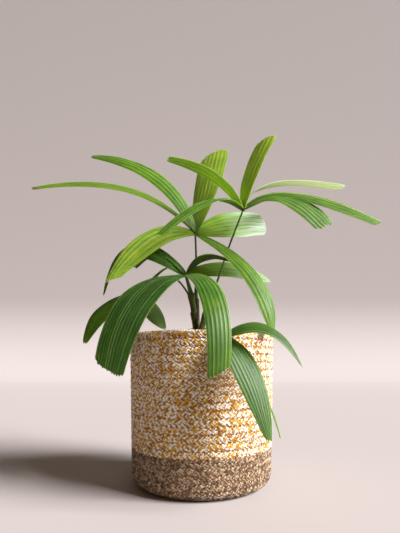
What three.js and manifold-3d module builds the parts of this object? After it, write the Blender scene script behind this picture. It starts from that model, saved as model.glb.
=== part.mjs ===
// A young lady palm (rhapis) in a basket planter coiled from braided cord.
// Millimetres, +Z up. The origin is the centre of the basket's flat underside, and the front faces -Y.
import * as THREE from 'three';
import { mergeVertices } from 'three/addons/utils/BufferGeometryUtils.js';
import Module from 'manifold-3d';

// Driving dimensions of the basket planter and of what fills it
const SEAT_GAP = 0.3;
const BASKET = {
  height: 207, bandHeight: 53, topRadius: 100.5, footRadius: 98, wall: 7, floor: 8, sides: 72,
};
const FOOT_CORNER = { radius: 18, steps: 5 };
const INNER_CORNER = { radius: 16, steps: 3 };
const RIM_ROUND = { radius: 3.5, steps: 6 };
const MIX = { top: 182, edgeTop: 177, plateauRadius: 36, sides: 48 };

// Driving dimensions that all leaflets, petioles and canes share
const LEAFLET = {
  thickness: 2.8, footWidth: 5, opening: 0.65, widest: 0.55, tipShare: 0.55, cup: 0.12, corner: 0.22,
  steps: 11, lanes: 3,
};
const HUB_RADIUS = 4.2;
const PETIOLE = { radius: 1.8, sides: 8, steps: 10 };
const CANE = { sides: 10, steps: 9, sheathSwell: 0.16 };

// How far along a centre line its direction is measured, how close two corners are to be one, and how far
// a fused frond's skin may move where its shortest edges are merged away
const TANGENT_STEP = 0.01;
const MERGE_TOLERANCE = 1e-4;
const SKIN_TOLERANCE = 0.02;

// Colour and roughness of each finish; each frond has its own green
const BRAID = { color: '#d9a84e', roughness: 0.9 };
const JUTE = { color: '#8d6f4f', roughness: 0.95 };
const SOIL = { color: '#3a2a1e', roughness: 1 };
const CANE_FIBRE = { color: '#3b3a20', roughness: 0.8 };
const STALK = { color: '#4a5a2a', roughness: 0.6 };
const LEAF_ROUGHNESS = 0.45;

// Canes: foot on the soil, bend and top, with the radius at the foot and at the top
const CANES = {
  cane_left: { foot: [-7, -1], bend: [-7.5, -2, 228], top: [-15, -4, 266], radii: [3.2, 3.8], sheaths: 3 },
  cane_centre: { foot: [-4, 9], bend: [-5, 9, 225], top: [-8, 10, 262], radii: [3.1, 3], sheaths: 2 },
  cane_right: { foot: [-3, -8], bend: [-3, -8, 215], top: [9, -5, 246], radii: [3.1, 3.6], sheaths: 2 },
};

// Each frond: the cane that carries it, the point where its petiole leaves that cane, the petiole's bends,
// the hub where the leaflets spread, and the leaflets. A leaflet has its heading seen from above (0 is +X,
// 90 is +Y), the reach and rise of its middle and its tip from the hub, its greatest width, its roll at
// the foot and at the tip in degrees, and where its shape needs them: widest, the share of its length
// where it is widest; tipShare, the width left at the tip; slant, how much shorter its left side is than
// its right, as a share of its length, or its right than its left where it is below zero; and corner, how
// far the tip's corners are rounded back, as a share of the tip's width.
const FRONDS = {
  frond_upper_right: {
    cane: 'cane_right',
    colour: '#6f9e35',
    leaves: [9.2, -3, 246.4],
    bends: [[22, -4, 282], [40, -4, 335]],
    hub: [58, -10, 381],
    leaflets: [
      { heading: 200, middle: [42, 40], tip: [108, 53], width: 22, roll: [0, 5] },
      { heading: 212, middle: [54, 2], tip: [130, -57], width: 24, roll: [-5, -30] },
      {
        heading: 50, middle: [16, 54], tip: [64, 130], width: 35, roll: [-22, 2],
        widest: 0.85, tipShare: 0.85, slant: 0.05, corner: 0.15,
      },
      { heading: 20, middle: [46, 43], tip: [171, 57], width: 21, roll: [0, 0], widest: 0.9, tipShare: 0.8 },
      {
        heading: 338, middle: [58, 8], tip: [111, -36], width: 43, roll: [15, 45],
        widest: 0.6, tipShare: 0.8, corner: 0.06,
      },
      {
        heading: 350, middle: [66, 16], tip: [178, -28], width: 30, roll: [35, 40],
        widest: 0.4, tipShare: 0.85, corner: 0.1,
      },
      { heading: 45, middle: [59, 33], tip: [131, 44], width: 18, roll: [0, 0] },
    ],
  },
  frond_upper_left: {
    cane: 'cane_centre',
    colour: '#729f33',
    leaves: [-8.1, 10.2, 262.8],
    bends: [[-8, 19, 292], [-8, 15, 325]],
    hub: [-9, 10, 355],
    leaflets: [
      {
        heading: 172, middle: [102, 70], tip: [253, 80], width: 20, roll: [10, 0],
        widest: 0.35, tipShare: 0.35,
      },
      { heading: 155, middle: [68, 95], tip: [188, 152], width: 29, roll: [-30, -50], tipShare: 0.3 },
      {
        heading: 74, middle: [51, 80], tip: [122, 184], width: 50, roll: [-35, 0],
        widest: 0.8, tipShare: 0.9, slant: 0.08,
      },
      {
        heading: 25, middle: [61, 23], tip: [122, 31], width: 48, roll: [50, 75],
        tipShare: 0.4, slant: 0.08,
      },
      {
        heading: 320, middle: [94, -70], tip: [127, -151], width: 38, roll: [20, 0],
        widest: 0.7, tipShare: 0.2,
      },
      {
        heading: 212, middle: [66, -17], tip: [130, -87], width: 38, roll: [-50, -42],
        tipShare: 0.25, slant: 0.06,
      },
      { heading: 84, middle: [70, 73], tip: [152, 160], width: 22, roll: [0, 0] },
    ],
  },
  frond_middle: {
    cane: 'cane_left',
    colour: '#3c6b2a',
    leaves: [-15.1, -4.1, 266.5],
    bends: [],
    hub: [-22, -8, 291],
    leaflets: [
      { heading: 165, middle: [84, 42], tip: [127, -20], width: 35, roll: [-55, -40], tipShare: 0.25 },
      {
        heading: 222, middle: [81, -41], tip: [122, -139], width: 54, roll: [-10, -40],
        widest: 0.45, tipShare: 0.7, slant: -0.06, corner: 0.12,
      },
      { heading: 349, middle: [25, 24], tip: [62, 17], width: 30, roll: [0, 0], tipShare: 0.3 },
      {
        heading: 287, middle: [118, -48], tip: [137, -142], width: 29, roll: [15, 0],
        widest: 0.5, tipShare: 0.85, slant: 0.06, corner: 0.1,
      },
      { heading: 25, middle: [70, 16], tip: [141, 4], width: 38, roll: [40, 55], tipShare: 0.2 },
      { heading: 150, middle: [48, 36], tip: [90, 21], width: 16, roll: [0, 0] },
    ],
  },
  frond_low_right: {
    cane: 'cane_right',
    colour: '#3f702b',
    leaves: [2.9, -6.5, 227],
    bends: [[6, -20, 240], [12, -55, 254], [18, -92, 240]],
    hub: [25, -112, 198],
    leaflets: [
      {
        heading: 350, middle: [48, 9], tip: [86, -32], width: 24, roll: [30, 25],
        widest: 0.3, tipShare: 0.1,
      },
      {
        heading: 325, middle: [33, -42], tip: [57, -112], width: 36, roll: [20, 35],
        widest: 0.4, tipShare: 0.2,
      },
      { heading: 335, middle: [43, -54], tip: [67, -111], width: 7, roll: [0, 0] },
    ],
  },
  frond_low_left: {
    cane: 'cane_left',
    colour: '#35602a',
    leaves: [-10.1, -2.6, 234],
    bends: [[-12.5, 3, 246], [-17, 4, 262], [-24, 4, 274], [-34, 7, 286], [-50, 12, 292], [-78, 25, 283]],
    hub: [-90, 45, 275],
    leaflets: [
      { heading: 190, middle: [54, -23], tip: [86, -77], width: 38, roll: [-20, -50], tipShare: 0.25 },
      { heading: 10, middle: [15, -25], tip: [34, -54], width: 38, roll: [40, 50], tipShare: 0.2 },
      { heading: 40, middle: [23, 29], tip: [48, 47], width: 14, roll: [0, 0] },
      { heading: 120, middle: [48, -19], tip: [102, -64], width: 28, roll: [0, 0] },
    ],
  },
  frond_rear: {
    cane: 'cane_centre',
    colour: '#3f702b',
    leaves: [-4.4, 9, 196],
    bends: [[-2, 20, 203], [2, 42, 214]],
    hub: [5, 60, 212],
    leaflets: [
      { heading: 15, middle: [60, 4], tip: [96, -32], width: 26, roll: [0, 0] },
      { heading: 50, middle: [46, 3], tip: [82, -66], width: 34, roll: [0, 0], tipShare: 0.7 },
      { heading: 85, middle: [44, 2], tip: [74, -88], width: 36, roll: [0, 0], tipShare: 0.7 },
      { heading: 120, middle: [47, 3], tip: [84, -72], width: 32, roll: [0, 0], tipShare: 0.7 },
      { heading: 160, middle: [64, 4], tip: [104, -40], width: 26, roll: [0, 0] },
    ],
  },
};

const toRadians = THREE.MathUtils.degToRad;
const wasm = await Module();
wasm.setup();

/** Closed solid from a list of rings of points that run round it, with a flat end at the first and last. */
function loft(rings) {
  const count = rings[0].length;
  const points = rings.flat();
  const faces = [];
  for (let ring = 0; ring + 1 < rings.length; ring += 1) {
    for (let side = 0; side < count; side += 1) {
      const a = ring * count + side;
      const b = ring * count + (side + 1) % count;
      faces.push(a, b, b + count, a, b + count, a + count);
    }
  }
  const last = (rings.length - 1) * count;
  for (let side = 1; side + 1 < count; side += 1) {
    faces.push(0, side + 1, side);
    faces.push(last, last + side, last + side + 1);
  }
  const geometry = new THREE.BufferGeometry().setFromPoints(points);
  geometry.setIndex(faces);
  return geometry;
}

/** The solid of a closed geometry, with its shared vertices merged. */
function toManifold(geometry) {
  const plain = geometry.clone();
  plain.deleteAttribute('normal');
  plain.deleteAttribute('uv');
  const merged = mergeVertices(plain, MERGE_TOLERANCE);
  return new wasm.Manifold(new wasm.Mesh({
    numProp: 3,
    vertProperties: new Float32Array(merged.attributes.position.array),
    triVerts: new Uint32Array(merged.index.array),
  }));
}

/** The geometry of a solid. */
function toGeometry(solid) {
  const mesh = solid.getMesh();
  const geometry = new THREE.BufferGeometry();
  geometry.setAttribute('position', new THREE.BufferAttribute(new Float32Array(mesh.vertProperties), 3));
  geometry.setIndex(new THREE.BufferAttribute(new Uint32Array(mesh.triVerts), 1));
  geometry.computeVertexNormals();
  return geometry;
}

/** Round rod along a curve, whose radius is a function of the fraction of its length. */
function rod(curve, radiusAt, sides, steps) {
  const frames = curve.computeFrenetFrames(steps, false);
  const rings = [];
  for (let step = 0; step <= steps; step += 1) {
    const centre = curve.getPointAt(step / steps);
    const radius = radiusAt(step / steps);
    const ring = [];
    for (let side = 0; side < sides; side += 1) {
      const angle = 2 * Math.PI * side / sides;
      ring.push(centre.clone()
        .addScaledVector(frames.normals[step], radius * Math.cos(angle))
        .addScaledVector(frames.binormals[step], radius * Math.sin(angle)));
    }
    rings.push(ring);
  }
  return loft(rings);
}

/** Centre line of a leaflet at t: a quadratic through its middle and tip, in the plane of its heading. */
function leafletPoint(hub, leaflet, t) {
  const along = quadraticThrough(leaflet.middle[0], leaflet.tip[0], t);
  const rise = quadraticThrough(leaflet.middle[1], leaflet.tip[1], t);
  const heading = toRadians(leaflet.heading);
  return hub.clone().add(new THREE.Vector3(along * Math.cos(heading), along * Math.sin(heading), rise));
}

/** Value at t of the quadratic that is 0 at t = 0, middle at t = 1/2 and end at t = 1. */
function quadraticThrough(middle, end, t) {
  return (4 * middle - end) * t + (2 * end - 4 * middle) * t * t;
}

/** Width of a leaflet at t as a share of its greatest width: it opens fast and narrows to its cut tip. */
function widthShare(leaflet, t) {
  const widest = leaflet.widest ?? LEAFLET.widest;
  const tipShare = leaflet.tipShare ?? LEAFLET.tipShare;
  const opening = LEAFLET.footWidth / leaflet.width;
  if (t < widest) {
    return opening + (1 - opening) * Math.sin(0.5 * Math.PI * (t / widest) ** LEAFLET.opening);
  }
  return 1 - (1 - tipShare) * ((t - widest) / (1 - widest)) ** 2;
}

/** Share of the length that a leaflet has at a side from -1, its right edge, to 1, its left edge. */
function lengthShare(leaflet, side) {
  const slant = leaflet.slant ?? 0;
  const tipWidth = leaflet.width * (leaflet.tipShare ?? LEAFLET.tipShare);
  const rounding = (leaflet.corner ?? LEAFLET.corner) * tipWidth / Math.hypot(...leaflet.tip) * side ** 4;
  return 1 - 0.5 * Math.abs(slant) * (1 + Math.sign(slant) * side) - rounding;
}

/** Point on the middle surface of a leaflet at t and at a side from -1 to 1, with its upward normal. */
function leafletSurface(hub, leaflet, t, side) {
  const centre = leafletPoint(hub, leaflet, t);
  const before = leafletPoint(hub, leaflet, t - TANGENT_STEP);
  const ahead = leafletPoint(hub, leaflet, t + TANGENT_STEP).sub(before).normalize();
  const heading = toRadians(leaflet.heading);
  const roll = toRadians(THREE.MathUtils.lerp(leaflet.roll[0], leaflet.roll[1], t));
  const across = new THREE.Vector3(-Math.sin(heading), Math.cos(heading), 0).applyAxisAngle(ahead, roll);
  const up = ahead.clone().cross(across);
  const halfWidth = 0.5 * leaflet.width * widthShare(leaflet, t);
  const point = centre
    .addScaledVector(across, side * halfWidth)
    .addScaledVector(up, -LEAFLET.cup * halfWidth * side * side);
  return { point, up };
}

/** Leaflet: a thin strip, cupped across, whose section is turned about its centre line by its roll. */
function leafletGeometry(hub, leaflet) {
  const rings = [];
  for (let step = 0; step <= LEAFLET.steps; step += 1) {
    const upper = [];
    const lower = [];
    for (let lane = 0; lane <= LEAFLET.lanes; lane += 1) {
      const side = 2 * lane / LEAFLET.lanes - 1;
      const t = step / LEAFLET.steps * lengthShare(leaflet, side);
      const { point, up } = leafletSurface(hub, leaflet, t, side);
      upper.push(point.clone().addScaledVector(up, 0.5 * LEAFLET.thickness));
      lower.push(point.clone().addScaledVector(up, -0.5 * LEAFLET.thickness));
    }
    rings.push([...lower, ...upper.reverse()]);
  }
  return loft(rings);
}

/** Frond: its leaflets fused at the hub, a small knot from which they fan out. */
function frondSolid(frond) {
  const hub = new THREE.Vector3(...frond.hub);
  let solid = toManifold(new THREE.IcosahedronGeometry(HUB_RADIUS, 1).translate(hub.x, hub.y, hub.z));
  for (const leaflet of frond.leaflets) {
    solid = solid.add(toManifold(leafletGeometry(hub, leaflet)));
  }
  return solid.simplify(SKIN_TOLERANCE);
}

/** Petiole: a slim stalk from its cane, cut clear of the cane's side, to just short of the frond's hub. */
function petioleSolid(frond) {
  const hub = new THREE.Vector3(...frond.hub);
  const knots = [frond.leaves, ...frond.bends].map((knot) => new THREE.Vector3(...knot));
  const back = knots[knots.length - 1].clone().sub(hub).normalize();
  knots.push(hub.addScaledVector(back, HUB_RADIUS + SEAT_GAP));
  const stalk = rod(new THREE.CatmullRomCurve3(knots), () => PETIOLE.radius, PETIOLE.sides, PETIOLE.steps);
  const cane = CANES[frond.cane];
  const clearance = rod(caneCurve(cane), (t) => caneRadius(cane, t) + SEAT_GAP, CANE.sides, CANE.steps);
  return toManifold(stalk).subtract(toManifold(clearance));
}

/** Path of a cane from its foot on the soil through its bend to its top. */
function caneCurve(cane) {
  const foot = new THREE.Vector3(cane.foot[0], cane.foot[1], MIX.top + SEAT_GAP);
  const [bend, top] = [cane.bend, cane.top].map((knot) => new THREE.Vector3(...knot));
  return new THREE.QuadraticBezierCurve3(foot, bend, top);
}

/** Radius of a cane at t: an even taper that swells below the mouth of each old leaf sheath. */
function caneRadius(cane, t) {
  const plain = THREE.MathUtils.lerp(cane.radii[0], cane.radii[1], t);
  const sheath = (t * cane.sheaths) % 1;
  return plain * (1 + CANE.sheathSwell * sheath);
}

const model = new THREE.Group();

/** Adds one named sub-part to the model, with a material of its own. */
function addPart(name, geometry, finish) {
  const mesh = new THREE.Mesh(geometry, new THREE.MeshStandardMaterial({ ...finish, metalness: 0 }));
  mesh.name = name;
  model.add(mesh);
}

/** Lathe about +Z from [radius, height] points that start and end on the axis or close on themselves. */
function turned(profile, sides) {
  const points = profile.map(([radius, height]) => new THREE.Vector2(radius, height));
  return new THREE.LatheGeometry(points, sides).rotateX(0.5 * Math.PI);
}

/** Arc of [radius, height] points about a centre, between two angles in degrees. */
function arc(centreRadius, centreHeight, { radius, steps }, from, to) {
  const points = [];
  for (let step = 0; step <= steps; step += 1) {
    const angle = toRadians(THREE.MathUtils.lerp(from, to, step / steps));
    points.push([centreRadius + radius * Math.cos(angle), centreHeight + radius * Math.sin(angle)]);
  }
  return points;
}

/** Outer radius of the basket at a height: an even taper from rim to foot. */
function basketRadius(height) {
  return THREE.MathUtils.lerp(BASKET.footRadius, BASKET.topRadius, height / BASKET.height);
}

/** Upper wall of mottled braid, with a rounded rim. */
function basketWall() {
  const low = BASKET.bandHeight + SEAT_GAP;
  const high = BASKET.height - RIM_ROUND.radius;
  const rimCentre = basketRadius(high) - RIM_ROUND.radius;
  return turned([
    [basketRadius(low) - BASKET.wall, low],
    [basketRadius(low), low],
    ...arc(rimCentre, high, RIM_ROUND, 0, 180),
    [basketRadius(low) - BASKET.wall, low],
  ], BASKET.sides);
}

/** Plain jute band with the floor: a rounded foot corner and a flat underside. */
function basketFoot() {
  const outer = BASKET.footRadius - FOOT_CORNER.radius;
  const inner = basketRadius(BASKET.bandHeight) - BASKET.wall;
  return turned([
    [0, 0],
    ...arc(outer, FOOT_CORNER.radius, FOOT_CORNER, -90, 0),
    [basketRadius(BASKET.bandHeight), BASKET.bandHeight],
    [inner, BASKET.bandHeight],
    ...arc(inner - INNER_CORNER.radius, BASKET.floor + INNER_CORNER.radius, INNER_CORNER, 0, -90),
    [0, BASKET.floor],
  ], BASKET.sides);
}

/** Potting mix that fills the basket up to a low mound round the canes. */
function pottingMix() {
  const inner = basketRadius(BASKET.bandHeight) - BASKET.wall - SEAT_GAP;
  const low = BASKET.floor + SEAT_GAP;
  return turned([
    [0, low],
    ...arc(inner - INNER_CORNER.radius, low + INNER_CORNER.radius, INNER_CORNER, -90, 0),
    [inner, MIX.edgeTop],
    [MIX.plateauRadius, MIX.top],
    [0, MIX.top],
  ], MIX.sides);
}

addPart('basket_wall', basketWall(), BRAID);
addPart('basket_foot', basketFoot(), JUTE);
addPart('potting_mix', pottingMix(), SOIL);

for (const [name, cane] of Object.entries(CANES)) {
  const geometry = rod(caneCurve(cane), (t) => caneRadius(cane, t), CANE.sides, CANE.steps);
  addPart(name, geometry, CANE_FIBRE);
}

for (const [name, frond] of Object.entries(FRONDS)) {
  addPart(name, toGeometry(frondSolid(frond)), { color: frond.colour, roughness: LEAF_ROUGHNESS });
  addPart(name.replace('frond', 'petiole'), toGeometry(petioleSolid(frond)), STALK);
}

export default model;
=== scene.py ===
import math
from functools import partial

import bpy
import numpy as np
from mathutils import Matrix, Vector


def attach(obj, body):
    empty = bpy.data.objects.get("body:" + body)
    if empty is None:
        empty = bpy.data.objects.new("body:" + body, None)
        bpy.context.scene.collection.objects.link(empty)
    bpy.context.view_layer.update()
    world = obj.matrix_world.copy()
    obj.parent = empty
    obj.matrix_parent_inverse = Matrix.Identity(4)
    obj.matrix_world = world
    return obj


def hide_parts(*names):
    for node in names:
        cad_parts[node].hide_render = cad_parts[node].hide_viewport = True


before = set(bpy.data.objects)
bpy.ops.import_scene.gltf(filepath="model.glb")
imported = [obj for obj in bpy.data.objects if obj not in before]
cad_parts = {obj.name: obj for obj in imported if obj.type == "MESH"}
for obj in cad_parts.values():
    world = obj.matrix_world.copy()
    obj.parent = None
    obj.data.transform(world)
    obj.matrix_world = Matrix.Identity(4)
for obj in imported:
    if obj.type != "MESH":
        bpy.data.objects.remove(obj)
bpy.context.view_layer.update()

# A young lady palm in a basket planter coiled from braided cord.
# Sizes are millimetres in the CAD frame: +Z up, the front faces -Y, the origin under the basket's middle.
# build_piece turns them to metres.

MM = 0.001
UP = np.array([0.0, 0.0, 1.0])
rng = np.random.default_rng(2874)

# Basket: the solids' sizes, and the braided cord that is coiled row on row
BASKET = {"height": 207.0, "band_height": 53.0, "top_radius": 100.5, "foot_radius": 98.0, "foot_corner": 18.0}
MOTTLED_ROWS = 16
FINE_BAND_ROWS = 7
LINING_ROWS = 4
ROW_PITCH = (BASKET["height"] - BASKET["band_height"]) / MOTTLED_ROWS
CORD = {"half_height": 0.5 * ROW_PITCH, "half_depth": 3.2, "seat": 0.3, "section_power": 0.5, "stitch": 6.9,
        "least_radius": 4.0, "section_points": 80}
# The coil steps down a row over the jog, an angle at the back. The cord's end tapers there to its least size
JOG = {"middle": 90.0, "half_width": 22.0, "least_size": 0.15}
# Yarn: how far a stitch starts past the cord's middle line, how deep its ends dive, how much lower its outer
# yarns lie, how thin a segment's ends are, and how far a stitch strays along, over and out of its place
YARN = {"radius": 0.68, "spacing": 1.25, "rings": 3, "sides": 4, "overlap": 0.5, "dive": 0.5, "bow": 0.1,
        "end_share": 0.55, "stray": (0.25, 0.12, 0.1)}
# How a stitch is built where it is seen closely, over the rim, and where it is hardly seen
FINE = {"yarns": 4, "segments": 2, "end_turn": 70}
RIM = {"yarns": 4, "segments": 3, "end_turn": 89}
COARSE = {"yarns": 2, "segments": 1, "end_turn": 62}
# The coil's core, a brown shell of painted shade seen between the stitches.
# Its stretches of the section, in millimetres below the rim, and the rows of points along each
CORE = {"half_depth": 1.4, "wall": (3.0, 180.0), "corner": (184.0, 216.0), "sole": 222.0, "hole": 2.0,
        "rows": (24, 12, 8), "sides": 96}

# Potting mix inside the basket, a low mound with waves, grain and loose crumbs
MIX = {"top": 181.2, "edge_top": 176.2, "plateau_radius": 36.0, "radius": 92.2, "depth": 12.0, "rings": 46,
       "sides": 150, "waves": 9, "wave_height": 0.28, "grain": 0.22, "crumbs": 620, "crumb_size": (0.7, 2.3)}
CRUMB = {"sides": 6, "ring": 0.45, "pole": 0.8, "rough": (0.7, 1.25), "least": (0.8, 0.6, 0.5),
         "most": (1.5, 1.0, 0.9), "margin": 4.0, "lift": 0.3}

# Leaflets: the solids' width and length rules, with the pleats and teeth that the solids leave out
LEAFLET = {"foot_width": 5.0, "opening": 0.65, "widest": 0.55, "tip_share": 0.55, "cup": 0.12, "corner": 0.22}
BLADE = {"thickness": 0.5, "rows": 64, "row_power": 0.9, "columns_per_pleat": 6}
PLEAT = {"height_share": 0.055, "least_share": 0.3, "crest": 0.6, "ridge": 0.8, "ridge_power": 6, "sink": 0.6,
         "uneven": 0.12, "strength": (0.55, 1.1)}
TOOTH = {"length": 3.4, "reach": 0.6, "shares": (0.35, 1.0)}
# Slow waves of the blade, as shares of its width, in turns to its length: along its edges, and all over it
RIPPLE = {"share": 0.02, "turns": 1.7}
FLUTTER = {"share": 0.012, "turns": 2.6, "lean": 0.4}
PLEAT_WIDTH = {"leaf_bright": 7.0, "leaf_dark": 4.6}
HUB_RADII = (2.6, 2.6, 2.2)
TONE_STRAY = 0.04

# Stalks: wider where they sheathe the cane, over a fade in millimetres, and a little at the hub
STALK = {"radius": 1.3, "sunk": 4.0, "past_hub": 1.0, "sheath_fade": 22.0, "flare": 0.15, "flare_fade": 4.0,
         "end_share": 0.55, "steps": 40, "sides": 12}

# Canes: foot on the potting mix, bend and top, radius at foot and top, and how many old sheaths they wear
CANES = {
    "cane_left": {"foot": (-7, -1), "bend": (-7.5, -2, 228), "top": (-15, -4, 266), "radii": (3.2, 3.8),
                  "sheaths": 3},
    "cane_centre": {"foot": (-4, 9), "bend": (-5, 9, 225), "top": (-8, 10, 262), "radii": (3.1, 3.0),
                    "sheaths": 2},
    "cane_right": {"foot": (-3, -8), "bend": (-3, -8, 215), "top": (9, -5, 246), "radii": (3.1, 3.6),
                   "sheaths": 2},
}
CANE = {"foot_height": 180.0, "steps": 90, "sides": 28}
# Shares of the cane's radius: the sheath's own, its widening mouth, and the cane's thinner top and foot
SHEATH = {"skin": 0.12, "mouth": 0.4, "top_taper": 0.5, "taper_start": 0.94, "foot_taper": 0.6}
HAIR = {"each_sheath": 7, "rise": 11, "spread": (0.4, 1.8), "stray": 0.05, "radii": (0.28, 0.1), "points": 9,
        "sides": 5, "seat": 0.3, "clear_foot": 8, "clear_top": 14}


def leaflet(heading, middle, tip, width, roll=(0, 0), tone=0.5, dry=0.0, **shape):
    """One leaflet: heading from above in degrees, reach and rise of its middle and its tip, greatest width,
    roll at foot and tip, tone from 0 (deep green) to 1.3 (pale; partly painted light, and a painted sheen
    above
    1), and dry from 0 to 1 for a withered tip.

    Its shape may name where it is widest, its tip's share of the width, the tip's slant and rounded corners,
    how deep its teeth and folds are, and how much painted sheen, a pale highlight on its outer half, it has."""
    return {"heading": heading, "middle": middle, "tip": tip, "width": width, "roll": roll, "tone": tone,
            "dry": dry, **shape}


# Fronds: the solids' hubs, stalks and leaflets, and the stalk's sheath as a share of its radius
# The leaflets' tones are partly their own greens and partly painted light: the upper fronds are paler for
# light shining through them
FRONDS = {
    "upper_right": {
        "slot": "leaf_bright", "hub": (58, -10, 381), "sheath": 1.5,
        "stalk": [(9.2, -3, 246.4), (22, -4, 282), (40, -4, 335)],
        "leaflets": [
            leaflet(200, (42, 40), (108, 53), 22, (0, 5), tone=0.45),
            leaflet(212, (54, 2), (130, -57), 24, (-5, -30), tone=0.4),
            leaflet(50, (16, 54), (64, 130), 35, (-22, 2), tone=0.9, widest=0.85, tip_share=0.85, slant=0.05,
                    corner=0.15, tooth=0.5, fold=0.6),
            # This leaflet's tone above 1 and its pale outer half are a painted sheen
            leaflet(20, (46, 43), (171, 57), 21, tone=1.3, widest=0.9, tip_share=0.8, bloom=0.7),
            leaflet(338, (58, 8), (111, -36), 43, (15, 45), tone=0.36, widest=0.6, tip_share=0.8,
                    corner=0.06),
            leaflet(350, (66, 16), (178, -28), 30, (35, 40), tone=0.4, widest=0.4, tip_share=0.85, corner=0.1,
                    fold=1.5),
            leaflet(45, (59, 33), (131, 44), 18, tone=0.5),
        ],
    },
    "upper_left": {
        "slot": "leaf_bright", "hub": (-9, 10, 355), "sheath": 1.6,
        "stalk": [(-8.1, 10.2, 262.8), (-8, 19, 292), (-8, 15, 325)],
        "leaflets": [
            leaflet(172, (102, 70), (253, 80), 20, (10, 0), tone=0.7, dry=1.0, widest=0.35, tip_share=0.35),
            leaflet(155, (68, 95), (188, 152), 29, (-30, -50), tone=0.36, dry=0.4, tip_share=0.3),
            leaflet(74, (51, 80), (122, 184), 50, (-35, 0), tone=0.75, widest=0.8, tip_share=0.9, slant=0.08,
                    tooth=0.6, fold=0.45),
            leaflet(25, (61, 23), (122, 31), 48, (50, 75), tone=0.62, tip_share=0.7, slant=0.06, tooth=0.3,
                    fold=0.5, bloom=0.7),
            leaflet(320, (94, -70), (127, -151), 38, (20, 0), tone=0.42, widest=0.75, tip_share=0.15,
                    fold=1.8),
            leaflet(212, (66, -17), (130, -87), 38, (-50, -42), tone=0.75, dry=0.3, tip_share=0.25,
                    slant=0.06),
            leaflet(84, (70, 73), (152, 160), 22, tone=0.6),
        ],
    },
    "middle": {
        "slot": "leaf_dark", "hub": (-22, -8, 291), "sheath": 2.0,
        "stalk": [(-15.1, -4.1, 266.5)],
        "leaflets": [
            leaflet(165, (84, 42), (127, -20), 35, (-55, -40), tone=0.15, tip_share=0.25),
            leaflet(222, (81, -41), (122, -139), 54, (-10, -40), tone=0.03, widest=0.45, tip_share=0.7,
                    slant=-0.06, corner=0.12, tooth=0.6),
            leaflet(349, (25, 24), (62, 17), 30, tone=0.0, tip_share=0.3),
            leaflet(287, (118, -48), (137, -142), 29, (15, 0), tone=0.36, widest=0.5, tip_share=0.85,
                    slant=0.06, corner=0.1),
            leaflet(25, (70, 16), (141, 4), 38, (40, 55), tone=0.5, tip_share=0.2, bloom=0.25),
            leaflet(150, (48, 36), (90, 21), 16, tone=0.15),
        ],
    },
    "low_right": {
        "slot": "leaf_dark", "hub": (25, -112, 198), "sheath": 0.7,
        "stalk": [(2.9, -6.5, 227), (6, -20, 240), (12, -55, 254), (18, -92, 240)],
        "leaflets": [
            leaflet(350, (48, 9), (86, -32), 28, (30, 25), tone=0.2, widest=0.3, tip_share=0.1),
            leaflet(325, (33, -42), (57, -112), 36, (20, 35), tone=0.2, widest=0.4, tip_share=0.2),
            leaflet(342, (41, -54), (64, -111), 7, tone=0.4),
        ],
    },
    "low_left": {
        "slot": "leaf_dark", "hub": (-90, 45, 275), "sheath": 0.9,
        "stalk": [(-10.1, -2.6, 234), (-12.5, 3, 246), (-17, 4, 262), (-24, 4, 274), (-34, 7, 286),
                  (-50, 12, 292), (-78, 25, 283)],
        "leaflets": [
            leaflet(190, (54, -23), (86, -77), 38, (-20, -50), tone=0.3, tip_share=0.25),
            leaflet(10, (15, -25), (34, -54), 38, (40, 50), tone=0.38, tip_share=0.2),
            leaflet(40, (23, 29), (48, 47), 14, tone=0.3),
            leaflet(120, (48, -19), (102, -64), 28, tone=0.15),
        ],
    },
    "rear": {
        "slot": "leaf_dark", "hub": (5, 60, 212), "sheath": 0.5,
        "stalk": [(-4.4, 9, 196), (-2, 20, 203), (2, 42, 214)],
        "leaflets": [
            leaflet(15, (60, 4), (96, -32), 26, tone=0.2),
            leaflet(50, (46, 3), (82, -66), 34, tone=0.25, tip_share=0.7),
            leaflet(85, (44, 2), (74, -88), 36, tone=0.15, tip_share=0.7),
            leaflet(120, (47, 3), (84, -72), 32, tone=0.2, tip_share=0.7),
            leaflet(160, (64, 4), (104, -40), 26, tone=0.25),
        ],
    },
}


# From arrays to pieces

class Pile:
    """Arrays that are joined into one mesh: points in millimetres, faces, and values at the points."""

    def __init__(self):
        self.points = []
        self.faces = []
        self.values = {}
        self.count = 0

    def add(self, points, face_sets, **values):
        """Adds a shape: (n, 3) points, a list of (m, corners) face arrays, and one value or n values of each
        name."""
        points = np.asarray(points, float).reshape(-1, 3)
        self.points.append(points)
        self.faces += [np.asarray(faces) + self.count for faces in face_sets]
        for name, value in values.items():
            flat = np.asarray(value, float).ravel()
            self.values.setdefault(name, []).append(flat if flat.size > 1 else np.full(len(points), flat[0]))
        self.count += len(points)


def add_to_scene(name, data):
    """A new object of the scene that holds the data."""
    made = bpy.data.objects.new(name, data)
    bpy.context.scene.collection.objects.link(made)
    return made


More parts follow.
